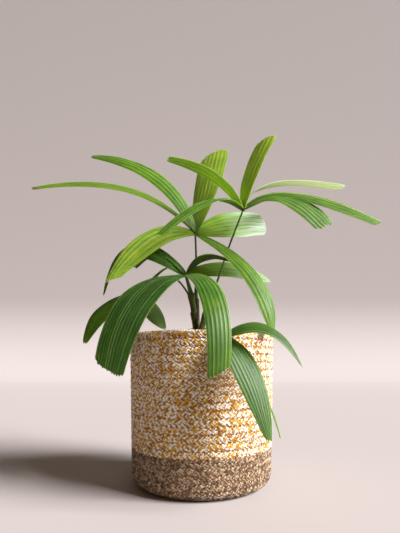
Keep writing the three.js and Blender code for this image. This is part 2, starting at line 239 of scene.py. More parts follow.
def build_piece(name, pile, material, nodes=(), sharp_angle=None):
    """Makes a mesh piece from a pile. It rides on the one body and replaces its CAD nodes."""
    points = np.concatenate(pile.points) * MM
    widths = np.concatenate([np.full(len(faces), faces.shape[1]) for faces in pile.faces])
    corners = np.concatenate([faces.ravel() for faces in pile.faces])
    mesh = bpy.data.meshes.new(name)
    mesh.vertices.add(len(points))
    mesh.vertices.foreach_set("co", points.astype(np.float32).ravel())
    mesh.loops.add(len(corners))
    mesh.loops.foreach_set("vertex_index", corners.astype(np.int32))
    mesh.polygons.add(len(widths))
    mesh.polygons.foreach_set("loop_start", np.concatenate([[0], np.cumsum(widths)[:-1]]).astype(np.int32))
    mesh.update(calc_edges=True)
    mesh.validate()
    for key, parts in pile.values.items():
        layer = mesh.attributes.new(key, "FLOAT", "POINT")
        layer.data.foreach_set("value", np.concatenate(parts).astype(np.float32))
    if sharp_angle is not None:
        mesh.set_sharp_from_angle(angle=math.radians(sharp_angle))
    mesh.materials.append(material)
    piece = add_to_scene(name, mesh)
    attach(piece, "root")
    if nodes:
        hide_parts(*nodes)


def grid_faces(rows, columns, closed=False):
    """Quads of a grid of rows by columns of points, whose columns close on themselves if closed."""
    lanes = columns if closed else columns - 1
    row, column = np.meshgrid(np.arange(rows - 1), np.arange(lanes), indexing="ij")
    after = (column + 1) % columns
    here, there = row * columns, (row + 1) * columns
    return np.stack([here + column, here + after, there + after, there + column], axis=-1).reshape(-1, 4)


def round_angles(count):
    """Angles spaced evenly round a full circle."""
    return np.linspace(0, 2 * math.pi, count, endpoint=False)


def turned(radius, turn, height):
    """Points at a radius from the upright axis, a turn angle round it and a height, broadcast together."""
    return np.stack(np.broadcast_arrays(radius * np.cos(turn), radius * np.sin(turn), height), axis=-1)


def fan_faces(centre, ring, flip=False):
    """Triangles from one centre point to each side of a closed ring of points."""
    after = np.roll(ring, -1)
    sides = (after, ring) if flip else (ring, after)
    return np.stack([np.full(len(ring), centre), *sides], axis=-1)


def capped_faces(rows, columns):
    """Faces of a closed grid whose ends meet in two points, which follow the grid's own."""
    count = rows * columns
    return [grid_faces(rows, columns, closed=True), fan_faces(count, np.arange(columns), flip=True),
            fan_faces(count + 1, np.arange(count - columns, count))]


def unit(vectors):
    """Vectors of length one in the same directions."""
    return vectors / np.maximum(np.linalg.norm(vectors, axis=-1, keepdims=True), 1e-12)


def tube(path, radii, sides, bumps=0.0):
    """Closed round tube along a path: rings of the radii plus bumps (rows by sides), and a point at each end.

    Each ring lies square to the path. Its first direction is the path's crossing with the normal of the plane
    that the path lies in most nearly, so it doesn't twist."""
    flat_normal = np.linalg.svd(path - path.mean(axis=0))[2][2]
    ahead = unit(np.gradient(path, axis=0))
    first = unit(np.cross(ahead, flat_normal))
    second = np.cross(ahead, first)
    angle = round_angles(sides)
    radius = (np.asarray(radii)[:, None] + bumps)[..., None]
    turn = first[:, None] * np.cos(angle)[:, None] + second[:, None] * np.sin(angle)[:, None]
    rings = path[:, None] + radius * turn
    points = np.concatenate([rings.reshape(-1, 3), path[:1], path[-1:]])
    return points, capped_faces(len(path), sides)


def smooth_path(knots, steps):
    """Points on the centripetal Catmull-Rom curve through three knots or more: between two knots it is a
    cubic whose slopes come from the knots on both sides, each span timed by the square root of its length."""
    ends = [2 * knots[0] - knots[1], 2 * knots[-1] - knots[-2]]
    all_knots = np.concatenate([ends[:1], knots, ends[1:]])
    chord = np.diff(all_knots, axis=0)
    span = np.sqrt(np.linalg.norm(chord, axis=1))[:, None]
    slope = chord[:-1] / span[:-1] - (chord[:-1] + chord[1:]) / (span[:-1] + span[1:]) + chord[1:] / span[1:]
    spot = np.linspace(0, len(knots) - 1, steps + 1)
    index = np.minimum(spot.astype(int), len(knots) - 2)
    t = (spot - index)[:, None]
    start, end = knots[index], knots[index + 1]
    leave, arrive = slope[index] * span[index + 1], slope[index + 1] * span[index + 1]
    return (start * (2 * t**3 - 3 * t**2 + 1) + leave * (t**3 - 2 * t**2 + t)
            + end * (3 * t**2 - 2 * t**3) + arrive * (t**3 - t**2))


# Materials

def colour(hex_code):
    """Linear RGBA of an sRGB hex colour."""
    channels = [int(hex_code[start:start + 2], 16) / 255 for start in (1, 3, 5)]
    linear = [level / 12.92 if level <= 0.04045 else ((level + 0.055) / 1.055) ** 2.4 for level in channels]
    return (*linear, 1.0)


def add_node(tree, kind, inputs=None, stops=(), **settings):
    """Adds one shader node of a kind with its settings, a ramp's stops, and its inputs. An input is a value,
    a hex colour, a socket to link, or a node, whose first output in use is linked."""
    node = tree.nodes.new("ShaderNode" + kind)
    for key, value in settings.items():
        setattr(node, key, value)
    for key, value in (inputs or {}).items():
        if isinstance(value, bpy.types.Node):
            value = next(output for output in value.outputs if output.enabled)
        if isinstance(value, bpy.types.NodeSocket):
            tree.links.new(value, node.inputs[key])
        else:
            node.inputs[key].default_value = colour(value) if isinstance(value, str) else value
    for place, (position, value) in enumerate(stops):
        elements = node.color_ramp.elements
        element = elements[place] if place < len(elements) else elements.new(position)
        element.position = position
        element.color = colour(value)
    return node


def new_material(name):
    """An empty node material, the function that adds its nodes, and the place on the piece in metres."""
    material = bpy.data.materials.new(name)
    material.use_nodes = True
    material.node_tree.nodes.clear()
    node = partial(add_node, material.node_tree)
    return material, node, node("TexCoord").outputs["Object"]


def finish_material(node, base, bump_height, bump_strength, bump_distance, **shader):
    """Ends a material in a Principled surface with a bump in millimetres. Shader holds constant inputs."""
    bump = node("Bump", {"Height": bump_height, "Strength": bump_strength, "Distance": bump_distance * MM})
    constants = {key.replace("_", " "): value for key, value in shader.items()}
    surface = node("BsdfPrincipled", {"Base Color": base, "Normal": bump, **constants})
    node("OutputMaterial", {"Surface": surface})


def living_leaf_blade():
    """Fresh palm leaf: a waxy cuticle over a pleated blade, in cloudy and streaked greens with paler ribs."""
    material, node, place = new_material("waxy_palm_leaf")
    tone, rib, along, across, edge, under, dry, bloom = (
        node("Attribute", attribute_name=name).outputs["Fac"]
        for name in ("tone", "rib", "along", "across", "edge", "under", "dry", "bloom"))
    # Clouds about 25 mm wide
    cloud = node("TexNoise", {"Vector": place, "Scale": 1 / (25 * MM), "Detail": 3.0})
    # Streaks about 2.5 mm wide that run half the length of a leaflet, others on each leaflet
    spot = node("CombineXYZ", {0: across, 1: along, 2: tone})
    streak_place = node("VectorMath", {0: spot, 1: (1 / 2.5, 2.0, 40.0)}, operation="MULTIPLY")
    streak = node("TexNoise", {"Vector": streak_place, "Scale": 1.0, "Detail": 2.0})
    clouded = node("Math", {0: cloud, 1: 0.4, 2: -0.35}, operation="MULTIPLY_ADD")
    streaked = node("Math", {0: streak, 1: 0.3, 2: clouded}, operation="MULTIPLY_ADD")
    own_tone = node("Math", {0: tone, 1: streaked}, operation="ADD")
    # The ramp ends at a tone of 1.25, in a pale grey-green that is a painted sheen where the palest leaflet
    # reaches it
    tone_here = node("Math", {0: own_tone, 1: 0.8}, operation="MULTIPLY")
    green = node("ValToRGB", {"Fac": tone_here}, stops=(
        (0.0, "#1e3a12"), (0.24, "#355c18"), (0.52, "#64861f"), (0.8, "#95a93a"), (1.0, "#c4d2c0")))
    # Ribs on the crests of the pleats, paler partly in their own green and partly as a painted highlight,
    # stand out less on the deepest green
    crest = node("MapRange", {"Value": rib, "From Min": 0.45, "To Max": 0.5})
    rib_by_tone = node("Math", {0: tone, 1: 0.25, 2: 0.5}, operation="MULTIPLY_ADD")
    rib_and_highlight_share = node("Math", {0: crest, 1: rib_by_tone}, operation="MULTIPLY")
    # The valleys between them get painted shade, a deeper green, most on the deepest
    valley_shade = node("MapRange", {"Value": rib, "From Min": -0.2, "From Max": -1.0, "To Max": 0.4})
    valley_shade_by_tone = node("Math", {0: tone, 1: -0.65, 2: 1.0}, operation="MULTIPLY_ADD")
    valley_shade_share = node("Math", {0: valley_shade, 1: valley_shade_by_tone}, operation="MULTIPLY")
    margin_share = node("MapRange", {"Value": edge, "From Min": 0.95, "To Max": 0.5})
    # Veins 1.2 mm apart
    vein_phase = node("Math", {0: across, 1: 2 * math.pi / 1.2}, operation="MULTIPLY")
    vein = node("Math", {0: vein_phase}, operation="SINE")
    vein_share = node("MapRange", {"Value": vein, "From Min": -1.0, "To Max": 0.08})
    # A painted sheen, a pale highlight, lies over the outer half of some leaflets, in the same streaks
    outer_half = node("MapRange", {"Value": along, "From Min": 0.4, "From Max": 0.95})
    painted_sheen_here = node("Math", {0: outer_half, 1: bloom}, operation="MULTIPLY")
    painted_sheen_streak = node("MapRange", {"Value": streak, "From Min": 0.35, "From Max": 0.6, "To Min": 0.2})
    painted_sheen_share = node("Math", {0: painted_sheen_here, 1: painted_sheen_streak}, operation="MULTIPLY")
    # The underside is paler and duller
    under_share = node("Math", {0: under, 1: 0.3}, operation="MULTIPLY")
    # A withered tip over the last thirtieth of the length
    tip = node("MapRange", {"Value": along, "From Min": 0.965, "From Max": 0.99})
    dry_share = node("Math", {0: tip, 1: dry}, operation="MULTIPLY")
    base = green
    # Tints laid over the green by their shares, among them the painted shade of the valleys, the painted
    # sheen of the outer halves and the ribs' partly painted highlight
    for share, tint in ((rib_and_highlight_share, "#9dba70"), (valley_shade_share, "#183009"), (margin_share, "#8aa24e"),
                        (vein_share, "#14280c"), (painted_sheen_share, "#cfe0e0"), (under_share, "#6f8a50"),
                        (dry_share, "#6e5138")):
        base = node("Mix", {0: share, 6: base, 7: tint}, data_type="RGBA")
    finish_material(node, base, vein, 0.1, 0.1, Roughness=0.48, IOR=1.45, Specular_IOR_Level=0.3,
                    Subsurface_Weight=1.0, Subsurface_Radius=(0.9, 1.0, 0.3), Subsurface_Scale=2.5 * MM)
    return material


def green_stalk():
    """Petiole: a wiry satin stalk, deep green, browner in patches, with fine lengthwise streaks."""
    material, node, place = new_material("satin_petiole")
    stretched = node("Mapping", {"Vector": place, "Scale": (1.0, 1.0, 0.12)})
    # Nine streaks in 10 mm, and nine patches in 200 mm
    streak = node("TexNoise", {"Vector": stretched, "Scale": 9 / (10 * MM), "Detail": 2.0})
    patch = node("TexNoise", {"Vector": place, "Scale": 9 / (200 * MM), "Detail": 2.0})
    green = node("ValToRGB", {"Fac": patch}, stops=((0.35, "#34541f"), (0.65, "#5e7f33")))
    share = node("MapRange", {"Value": streak, "From Min": 0.4, "To Max": 0.5})
    base = node("Mix", {0: share, 6: green, 7: "#3b2d18"}, data_type="RGBA")
    finish_material(node, base, streak, 0.4, 0.2, Roughness=0.45, IOR=1.45)
    return material


def fibrous_cane():
    """Cane in old leaf sheaths: dark brown fibre with green showing where a sheath has worn through."""
    material, node, place = new_material("sheath_fibre")
    fibre = node("Attribute", attribute_name="fibre").outputs["Fac"]
    bare = node("Attribute", attribute_name="bare").outputs["Fac"]
    stretched = node("Mapping", {"Vector": place, "Scale": (1.0, 1.0, 0.08)})
    # Twelve fibres in 10 mm
    streak = node("TexNoise", {"Vector": stretched, "Scale": 12 / (10 * MM), "Detail": 2.0})
    brown = node("ValToRGB", {"Fac": streak}, stops=((0.35, "#262110"), (0.55, "#504a26"), (0.75, "#8a8050")))
    green = node("Mix", {0: streak, 6: "#35541c", 7: "#7d9c42"}, data_type="RGBA")
    worn = node("Mix", {0: bare, 6: brown, 7: green}, data_type="RGBA")
    base = node("Mix", {0: fibre, 6: worn, 7: "#3b2b1a"}, data_type="RGBA")
    finish_material(node, base, streak, 0.7, 0.4, Roughness=0.7, IOR=1.45)
    return material


def spun_yarn(name, tint, roughness=0.85):
    """One colour of spun yarn: plain, matt, with the fuzz of its fibres as a faint bump and sheen."""
    material, node, place = new_material(name)
    # Fibre tufts about 0.5 mm wide
    tuft = node("TexNoise", {"Vector": place, "Scale": 1 / (0.5 * MM), "Detail": 1.0})
    finish_material(node, tint, tuft, 0.3, 0.15, Roughness=roughness, IOR=1.5, Sheen_Weight=0.15,
                    Sheen_Roughness=0.5)
    return material


def woven_shade():
    """Painted shade between the stitches: a brown in tufts deep in the coil that stands for the shadow there,
    quite matt.
    """
    material, node, place = new_material("shaded_cord")
    # Tufts about 2 mm wide
    tuft = node("TexNoise", {"Vector": place, "Scale": 1 / (2 * MM), "Detail": 2.0})
    base = node("Mix", {0: tuft, 6: "#845a2c", 7: "#ab7f4c"}, data_type="RGBA")
    finish_material(node, base, tuft, 0.5, 0.5, Roughness=0.95, IOR=1.5)
    return material


def moist_mix():
    """Potting mix: moist peat and fine bark, matt, in crumbs of several browns."""
    material, node, place = new_material("moist_potting_mix")
    # Crumbs about 3 mm wide, 33 in 100 mm
    crumb = node("TexNoise", {"Vector": place, "Scale": 33 / (100 * MM), "Detail": 5.0})
    base = node("ValToRGB", {"Fac": crumb}, stops=((0.3, "#150e09"), (0.5, "#2c1e14"), (0.7, "#4b3524")))
    finish_material(node, base, crumb, 0.8, 1.5, Roughness=0.95, IOR=1.4)
    return material


def studio_paper():
    """Seamless studio paper: plain, pale and matt, with three grains in 10 mm."""
    material, node, place = new_material("studio_paper")
    grain = node("TexNoise", {"Vector": place, "Scale": 3 / (10 * MM), "Detail": 2.0})
    base = node("Mix", {0: grain, 6: "#ada5a1", 7: "#b0a8a4"}, data_type="RGBA")
    finish_material(node, base, grain, 0.02, 0.1, Roughness=0.9, IOR=1.4)
    return material


# Leaves

def quadratic_through(middle, end, t):
    """Value at t of the quadratic that is 0 at t = 0, middle at t = 1/2 and end at t = 1, and its slope."""
    first, second = 4 * middle - end, 2 * end - 4 * middle
    return first * t + second * t**2, first + 2 * second * t


def width_share(part, t):
    """Width at t as a share of the greatest: a quarter sine of a power of t up to the widest place, and from
    there 1 less a share that grows as the square, down to the width left at the tip."""
    widest, tip = part.get("widest", LEAFLET["widest"]), part.get("tip_share", LEAFLET["tip_share"])
    opening = LEAFLET["foot_width"] / part["width"]
    rising = opening + (1 - opening) * np.sin(0.5 * math.pi * np.clip(t / widest, 0, 1) ** LEAFLET["opening"])
    falling = 1 - (1 - tip) * np.clip((t - widest) / (1 - widest), 0, 1) ** 2
    return np.where(t < widest, rising, falling)


def length_share(part, side):
    """Share of the length at a side from -1 to 1: a slant falls off evenly across the tip, and the corners
    are rounded back by a share of the tip's width that grows as the fourth power of side."""
    slant = part.get("slant", 0.0)
    tip_width = part["width"] * part.get("tip_share", LEAFLET["tip_share"])
    rounding = part.get("corner", LEAFLET["corner"]) * tip_width / math.hypot(*part["tip"]) * side**4
    return 1 - 0.5 * abs(slant) * (1 + np.sign(slant) * side) - rounding


def leaflet_surface(hub, part, t, side):
    """The blade's middle surface at t from foot to tip and side from -1 to 1, and its upward normals.

    The centre line is a quadratic in the upright plane of the heading. The blade lies across it, turned
    about it by the roll, and its edges sag as the square of side."""
    heading = math.radians(part["heading"])
    outward = np.array([math.cos(heading), math.sin(heading), 0.0])
    level = np.array([-math.sin(heading), math.cos(heading), 0.0])
    reach, reach_slope = quadratic_through(part["middle"][0], part["tip"][0], t)
    rise, rise_slope = quadratic_through(part["middle"][1], part["tip"][1], t)
    centre = np.asarray(hub, float) + reach[..., None] * outward + rise[..., None] * UP
    ahead = unit(reach_slope[..., None] * outward + rise_slope[..., None] * UP)
    roll = np.radians(part["roll"][0] + (part["roll"][1] - part["roll"][0]) * t)[..., None]
    across = level * np.cos(roll) + np.cross(ahead, level) * np.sin(roll)
    above = np.cross(ahead, across)
    half_width = (0.5 * part["width"] * width_share(part, t))[..., None]
    sag = LEAFLET["cup"] * half_width * side[..., None] ** 2
    return centre + across * side[..., None] * half_width - above * sag, above


def add_leaflet(pile, hub, part, pleat_width):
    """Adds one pleated leaflet, a thin closed strip, to a frond's pile.

    Each pleat is a raised cosine, sharpened by its sixth power, as high as a share of the pleat's width, and
    some are weaker. The edges ripple and the blade flutters as sines that grow with t. The tip is cut into a
    tooth for each pleat, some longer than the solid. The two faces lie half the thickness to each side."""
    length = math.hypot(*part["tip"])
    pleats = max(2, round(part["width"] / pleat_width))
    columns = pleats * BLADE["columns_per_pleat"]
    phase = np.linspace(0, pleats, columns + 1)
    pleat = np.minimum(phase.astype(int), pleats - 1)
    knots = np.linspace(-1, 1, pleats + 1)
    knots[1:-1] += rng.uniform(-PLEAT["uneven"], PLEAT["uneven"], pleats - 1) / pleats
    side = np.interp(phase, np.arange(pleats + 1), knots)
    crest = 0.5 - 0.5 * np.cos(2 * math.pi * phase)

    tooth = TOOTH["length"] / length
    cut = tooth * part.get("tooth", 1.0) * (1 - rng.uniform(*TOOTH["shares"], pleats)[pleat] * np.sqrt(crest))
    reach_share = length_share(part, side) + TOOTH["reach"] * tooth - cut
    row = np.linspace(0, 1, BLADE["rows"] + 1) ** BLADE["row_power"]
    t = row[:, None] * reach_share

    middle, above = leaflet_surface(hub, part, t, side)
    share = width_share(part, t)
    ripple_start, flutter_start = rng.uniform(0, 2 * math.pi, 2)
    ripple = RIPPLE["share"] * side * np.sin(2 * math.pi * RIPPLE["turns"] * t + ripple_start)
    flutter_phase = 2 * math.pi * (FLUTTER["turns"] * t + FLUTTER["lean"] * side) + flutter_start
    wave = part["width"] * share * (ripple + FLUTTER["share"] * np.sin(flutter_phase)) * t
    strength = rng.uniform(*PLEAT["strength"], pleats)[pleat]
    fold = 2 * (PLEAT["crest"] * crest + PLEAT["ridge"] * crest ** PLEAT["ridge_power"]) * strength
    fold_height = PLEAT["height_share"] * part.get("fold", 1.0) * part["width"] / pleats
    pleating = (fold - PLEAT["sink"]) * fold_height * np.maximum(share, PLEAT["least_share"])
    middle = middle + above * (pleating + wave)[..., None]

    half_normal = 0.5 * BLADE["thickness"] * unit(np.cross(np.gradient(middle, axis=0),
                                                           np.gradient(middle, axis=1)))
    ring = np.concatenate([middle - half_normal, (middle + half_normal)[:, ::-1]], axis=1)
    ring_size = 2 * (columns + 1)
    lane = np.arange(columns)
    foot = np.stack([lane, ring_size - 1 - lane, ring_size - 2 - lane, lane + 1], axis=-1)
    tip = foot[:, ::-1] + BLADE["rows"] * ring_size

    def both(field):
        """A field of the middle surface, for the lower face and then the upper one."""
        field = np.broadcast_to(field, t.shape)
        return np.concatenate([field, field[:, ::-1]], axis=1)

    under = np.concatenate([np.ones_like(t), np.zeros_like(t)], axis=1)
    pile.add(ring, [grid_faces(len(row), ring_size, closed=True), foot, tip],
             tone=part["tone"] + rng.uniform(-TONE_STRAY, TONE_STRAY), dry=part["dry"],
             bloom=part.get("bloom", 0.0), under=under, rib=both((2 * crest - 1) * np.minimum(strength, 1)),
             along=both(t), edge=both(np.abs(side)), across=both(side * 0.5 * part["width"]))


def add_knot(pile, centre, radii, **values):
    """Adds a small closed ellipsoid: rings by latitude, with a point at each pole."""
    rows, sides = 7, 12
    latitude = np.linspace(-0.5 * math.pi, 0.5 * math.pi, rows + 2)[1:-1, None]
    ball = turned(np.cos(latitude), round_angles(sides), np.sin(latitude))
    points = np.concatenate([ball.reshape(-1, 3), [-UP, UP]]) * radii + centre
    pile.add(points, capped_faces(rows, sides), **values)


def make_frond(name, frond, leaf):
    """All leaflets of a frond with the knot that they spread from."""
    pile = Pile()
    for part in frond["leaflets"]:
        add_leaflet(pile, frond["hub"], part, PLEAT_WIDTH[frond["slot"]])
    add_knot(pile, frond["hub"], HUB_RADII, tone=0.1, dry=0.0, bloom=0.0, under=0.0, rib=-1.0, along=0.5,
             edge=0.0, across=0.0)
    build_piece(f"palm_frond_{name}", pile, leaf, [f"frond_{name}"], sharp_angle=75)


def make_stalk(name, frond, stalk_material):
    """Stalk from inside its cane to the hub: a tube whose radius swells where it sheathes the cane, as an
    exponential that fades along it, and a little before the hub. Its two ends are rounded off."""
    knots = np.asarray([frond["stalk"][0], *frond["stalk"], frond["hub"]], float)
    knots[0] += unit(knots[1] - knots[2]) * STALK["sunk"]
    knots[-1] += unit(knots[-2] - knots[-1]) * STALK["past_hub"]
    path = smooth_path(knots, STALK["steps"])
    travel = np.append(0.0, np.cumsum(np.linalg.norm(np.diff(path, axis=0), axis=1)))
    sheath = frond["sheath"] * np.exp(-travel / STALK["sheath_fade"])
    flare = STALK["flare"] * np.exp((travel - travel[-1]) / STALK["flare_fade"])
    radii = STALK["radius"] * (1 + sheath + flare)
    radii[[0, -1]] *= STALK["end_share"]
    pile = Pile()
    pile.add(*tube(path, radii, STALK["sides"]))
    build_piece(f"stalk_{name}", pile, stalk_material, [f"petiole_{name}"])


def add_hairs(pile, path, plain, count):
    """Adds loose fibres to a cane: thin tubes that rise and lean out as the square of the way up."""
    hair_t = np.linspace(0, 1, HAIR["points"])[:, None]
    for _ in range(count):
        start = int(rng.integers(HAIR["clear_foot"], CANE["steps"] - HAIR["clear_top"]))
        turn = rng.uniform(0, 2 * math.pi)
        away = np.array([math.cos(turn), math.sin(turn), 0.0])
        base = path[start] + away * (plain[start, 0] + HAIR["seat"])
        lean = away * rng.uniform(*HAIR["spread"]) * hair_t**2
        hair = base + UP * HAIR["rise"] * hair_t + lean + rng.normal(0, HAIR["stray"], (HAIR["points"], 3))
        pile.add(*tube(hair, np.linspace(*HAIR["radii"], HAIR["points"]), HAIR["sides"]), fibre=1.0, bare=0.0)


def make_cane(name, cane, fibre_material):
    """Cane in its old sheaths: a finely ridged tube along a quadratic curve. Each sheath widens upwards as
    the square of the way through it, and ends in a ragged mouth. The cane narrows at its foot and top."""
    t = np.linspace(0, 1, CANE["steps"] + 1)[:, None]
    foot = np.array([*cane["foot"], CANE["foot_height"]])
    path = (1 - t) ** 2 * foot + 2 * t * (1 - t) * np.array(cane["bend"]) + t**2 * np.array(cane["top"])
    angle = round_angles(CANE["sides"])[None]
    ragged = 0.05 * np.sin(3 * angle + 1.3) + 0.025 * np.sin(7 * angle)
    within = (t * cane["sheaths"] + ragged) % 1
    plain = cane["radii"][0] + (cane["radii"][1] - cane["radii"][0]) * t
    ridges = 0.12 * np.sin(9 * angle + 4 * t) + 0.08 * np.sin(14 * angle - 30 * t)
    bumps = plain * (SHEATH["skin"] + SHEATH["mouth"] * within**2) + ridges
    near_top = np.clip((t - SHEATH["taper_start"]) / (1 - SHEATH["taper_start"]), 0, 1)
    bumps -= plain * SHEATH["top_taper"] * near_top**2
    bumps[0] -= SHEATH["foot_taper"] * plain[0]
    # Bare green shows in patches that wind round the cane, more of them towards the top
    patches = 1.6 * np.sin(2 * angle + 5 * t + foot[0]) + 0.3 + 0.9 * t
    bare = np.clip(patches, 0, 1) * (1 - within**3)
    pile = Pile()
    pile.add(*tube(path, plain[:, 0], CANE["sides"], bumps), fibre=0.0,
             bare=np.concatenate([bare.ravel(), [0.0, 0.0]]))
    add_hairs(pile, path, plain, cane["sheaths"] * HAIR["each_sheath"])
    build_piece(f"sheathed_{name}", pile, fibre_material, [name], sharp_angle=60)


# Basket

def section_length(height):
    """Length of the section from a height on the wall, round the foot corner, to the underside's middle."""
    corner = BASKET["foot_corner"]
    return height - corner + 0.5 * math.pi * (corner - CORD["half_depth"]) + BASKET["foot_radius"] - corner


def coil_section(depth):
    """Radius and height of the cord's middle at a depth below the rim, measured down the wall, round the foot
    corner and in along the underside, with the rimward and the outward direction there."""
    inset, corner = CORD["half_depth"] + CORD["seat"], BASKET["foot_corner"]
    foot = BASKET["foot_radius"]
    bow = corner - inset
    wall_length = BASKET["height"] - corner
    arc_length = 0.5 * math.pi * bow
    depth = np.asarray(depth, float)
    height = BASKET["height"] - depth
    wall_radius = foot + (BASKET["top_radius"] - foot) * height / BASKET["height"] - inset
    turn = np.clip((depth - wall_length) / bow, 0, 0.5 * math.pi)
    inward = foot - corner - (depth - wall_length - arc_length)
    on_wall, on_floor = depth < wall_length, depth > wall_length + arc_length
    radius = np.where(on_wall, wall_radius, np.where(on_floor, inward, foot - corner + bow * np.cos(turn)))
    level = np.where(on_wall, height, np.where(on_floor, inset, corner - bow * np.sin(turn)))
    rimward = np.stack([np.sin(turn), np.cos(turn)], axis=-1)
    outward = np.stack([np.cos(turn), -np.sin(turn)], axis=-1)
    return radius, level, rimward, outward


def stitch_template(half, inside, style):
    """Local points of the yarns of one stitch: (yarn, segment, ring, side, [along, rimward, outward]).

    A stitch runs from the cord's middle line to its edge over a section that is a superellipse (sine and
    cosine to the power 1/2), and as far along the cord as over it. It rises as a half sine, so both its ends
    dive under the stitches beside it. Its yarns lie side by side and change colour at each segment."""
    turn = np.radians(np.linspace(0, style["end_turn"], CORD["section_points"]))
    rim = np.append(-YARN["overlap"], CORD["half_height"] * np.sin(turn) ** CORD["section_power"])
    out = (CORD["half_depth"] - YARN["radius"]) * np.append(1.0, np.cos(turn) ** CORD["section_power"])
    arc = np.append(0.0, np.cumsum(np.hypot(np.diff(rim), np.diff(out))))
    steps = style["segments"] * (YARN["rings"] - 1)
    way = np.linspace(0, 1, steps + 1)
    rimward, outward = (np.interp(way * arc[-1], arc, part) for part in (rim, out))
    ahead = unit(np.stack([np.gradient(rimward), np.gradient(outward)], axis=-1))
    facing = np.stack([np.zeros_like(way), -ahead[:, 1] * half, ahead[:, 0]], axis=-1)
    centre = np.stack([arc[-1] * (way - 0.5), rimward * half, outward], axis=-1)
    centre = centre + facing * YARN["dive"] * (np.sin(math.pi * way) - 1)[:, None]
    if inside:
        centre, facing = centre * [1, 1, -1], facing * [1, 1, -1]
    beside = unit(np.cross(np.gradient(centre, axis=0), facing))
    coarseness = FINE["yarns"] / style["yarns"]
    thickness = YARN["radius"] * coarseness * np.array([YARN["end_share"], 1.0, YARN["end_share"]])
    angle = round_angles(YARN["sides"]) + 0.25 * math.pi
    yarns = []
    for place in np.arange(style["yarns"]) - 0.5 * (style["yarns"] - 1):
        shift = place * YARN["spacing"] * coarseness
        path = centre + beside * shift - facing * YARN["bow"] * shift**2
        segments = []
        for first in range(0, steps, YARN["rings"] - 1):
            part = slice(first, first + YARN["rings"])
            ring = beside[part, None] * np.cos(angle)[:, None] + facing[part, None] * np.sin(angle)[:, None]
            segments.append(path[part, None] + ring * thickness[:, None, None])
        yarns.append(segments)
    return np.array(yarns)


def segment_faces():
    """Faces of one closed segment of yarn: a four-sided tube with a flat end at both ends."""
    sides, last = YARN["sides"], (YARN["rings"] - 1) * YARN["sides"]
    ends = np.array([np.arange(sides)[::-1], last + np.arange(sides)])
    return np.concatenate([grid_faces(YARN["rings"], sides, closed=True), ends])[:, ::-1]


def row_places(row):
    """Turn, depth below the rim and size of each stitch in one row of the coil, and the row's whole count.

    A row is level, but steps down over the jog at the back, where it runs on into the next row. Row -1 is
    the cord's tapered end, which fills the wedge that is left there below the rim."""
    depth = (row + 0.5) * ROW_PITCH
    radius = float(coil_section(max(depth, 0.0))[0])
    count = max(3, round(2 * math.pi * radius / CORD["stitch"]))
    turn = (np.arange(count) + rng.random()) * 2 * math.pi / count
    from_jog = (np.degrees(turn) - JOG["middle"] + 180) % 360 - 180
    step = np.clip(0.5 + 0.5 * from_jog / JOG["half_width"], 0, 1)
    step = step * step * (3 - 2 * step)
    in_jog = np.abs(from_jog) < JOG["half_width"]
    if row < 0:
        keep = in_jog & (step > JOG["least_size"])
        return turn[keep], 0.5 * step[keep] * ROW_PITCH, step[keep], count
    return turn, depth + np.where(in_jog, step, 0.0) * ROW_PITCH, np.ones(count), count


def collect_stitches(rows, inside, style):
    """World points of every segment of yarn in the given rows: (segment, points of the segment, 3).

    Near the underside's middle, a stitch turns about the axis as if it lay the least radius from it."""
    pieces = []
    for row in rows:
        turn, depth, size, count = row_places(row)
        for half in (1, -1):
            template = stitch_template(half, inside, RIM if row <= 0 and half > 0 else style)
            shift = 0.0 if half > 0 else math.pi / count
            loose = rng.normal(0, 1, (len(turn), template.shape[0], 1, 1, 1, 3)) * YARN["stray"]
            local = (template[None] + loose) * size.reshape(-1, 1, 1, 1, 1, 1)
            radius, level, rimward, outward = (part.reshape(len(turn), 1, 1, 1, 1, -1)
                                               for part in coil_section(depth))
            over, out = local[..., 1:2], local[..., 2:3]
            radius_at = radius + over * rimward[..., :1] + out * outward[..., :1]
            height_at = level + over * rimward[..., 1:] + out * outward[..., 1:]
            along = local[..., :1] / np.maximum(radius, CORD["least_radius"])
            turn_at = turn.reshape(-1, 1, 1, 1, 1, 1) + shift + along
            world = turned(radius_at, turn_at, height_at)
            pieces.append(world.reshape(-1, YARN["rings"] * YARN["sides"], 3))
    return np.concatenate(pieces)


def make_braid(name, rows, yarns, style=FINE, inside=False):
    """Rows of the coil, one piece for each colour of yarn: every segment of yarn is dealt a colour at random
    by the colours' shares."""
    stitches = collect_stitches(rows, inside, style)
    shares = np.cumsum([share for _, share, _ in yarns])
    dealt = np.searchsorted(shares / shares[-1], rng.random(len(stitches)))
    faces = segment_faces()
    size = stitches.shape[1]
    for place, (tint, _, material) in enumerate(yarns):
        mine = stitches[dealt == place]
        pile = Pile()
        pile.add(mine, [(faces[None] + size * np.arange(len(mine))[:, None, None]).reshape(-1, 4)])
        build_piece(f"{name}_{tint}", pile, material)


def make_core(shade_core_material):
    """The coil's core: a thin closed shell of painted shade along the cord's middle, from below the rim down
    to the middle of the underside. Its section is turned about the basket's axis."""
    sole = (CORE["sole"], section_length(BASKET["height"]) - CORE["hole"])
    stretches = zip((CORE["wall"], CORE["corner"], sole), CORE["rows"])
    depth = np.concatenate([np.linspace(*stretch, rows) for stretch, rows in stretches])
    radius, level, _, outward = coil_section(depth)
    middle = np.stack([radius, level], axis=-1)
    outer, inner = middle + CORE["half_depth"] * outward, middle - CORE["half_depth"] * outward
    section = np.concatenate([outer, inner[::-1]])
    turn = round_angles(CORE["sides"])
    points = turned(section[:, :1], turn, section[:, 1:])
    faces = grid_faces(len(section) + 1, len(turn), closed=True) % (len(section) * len(turn))
    pile = Pile()
    pile.add(points, [faces[:, ::-1]])
    build_piece("coil_core_painted_shade", pile, shade_core_material, ["basket_wall", "basket_foot"])


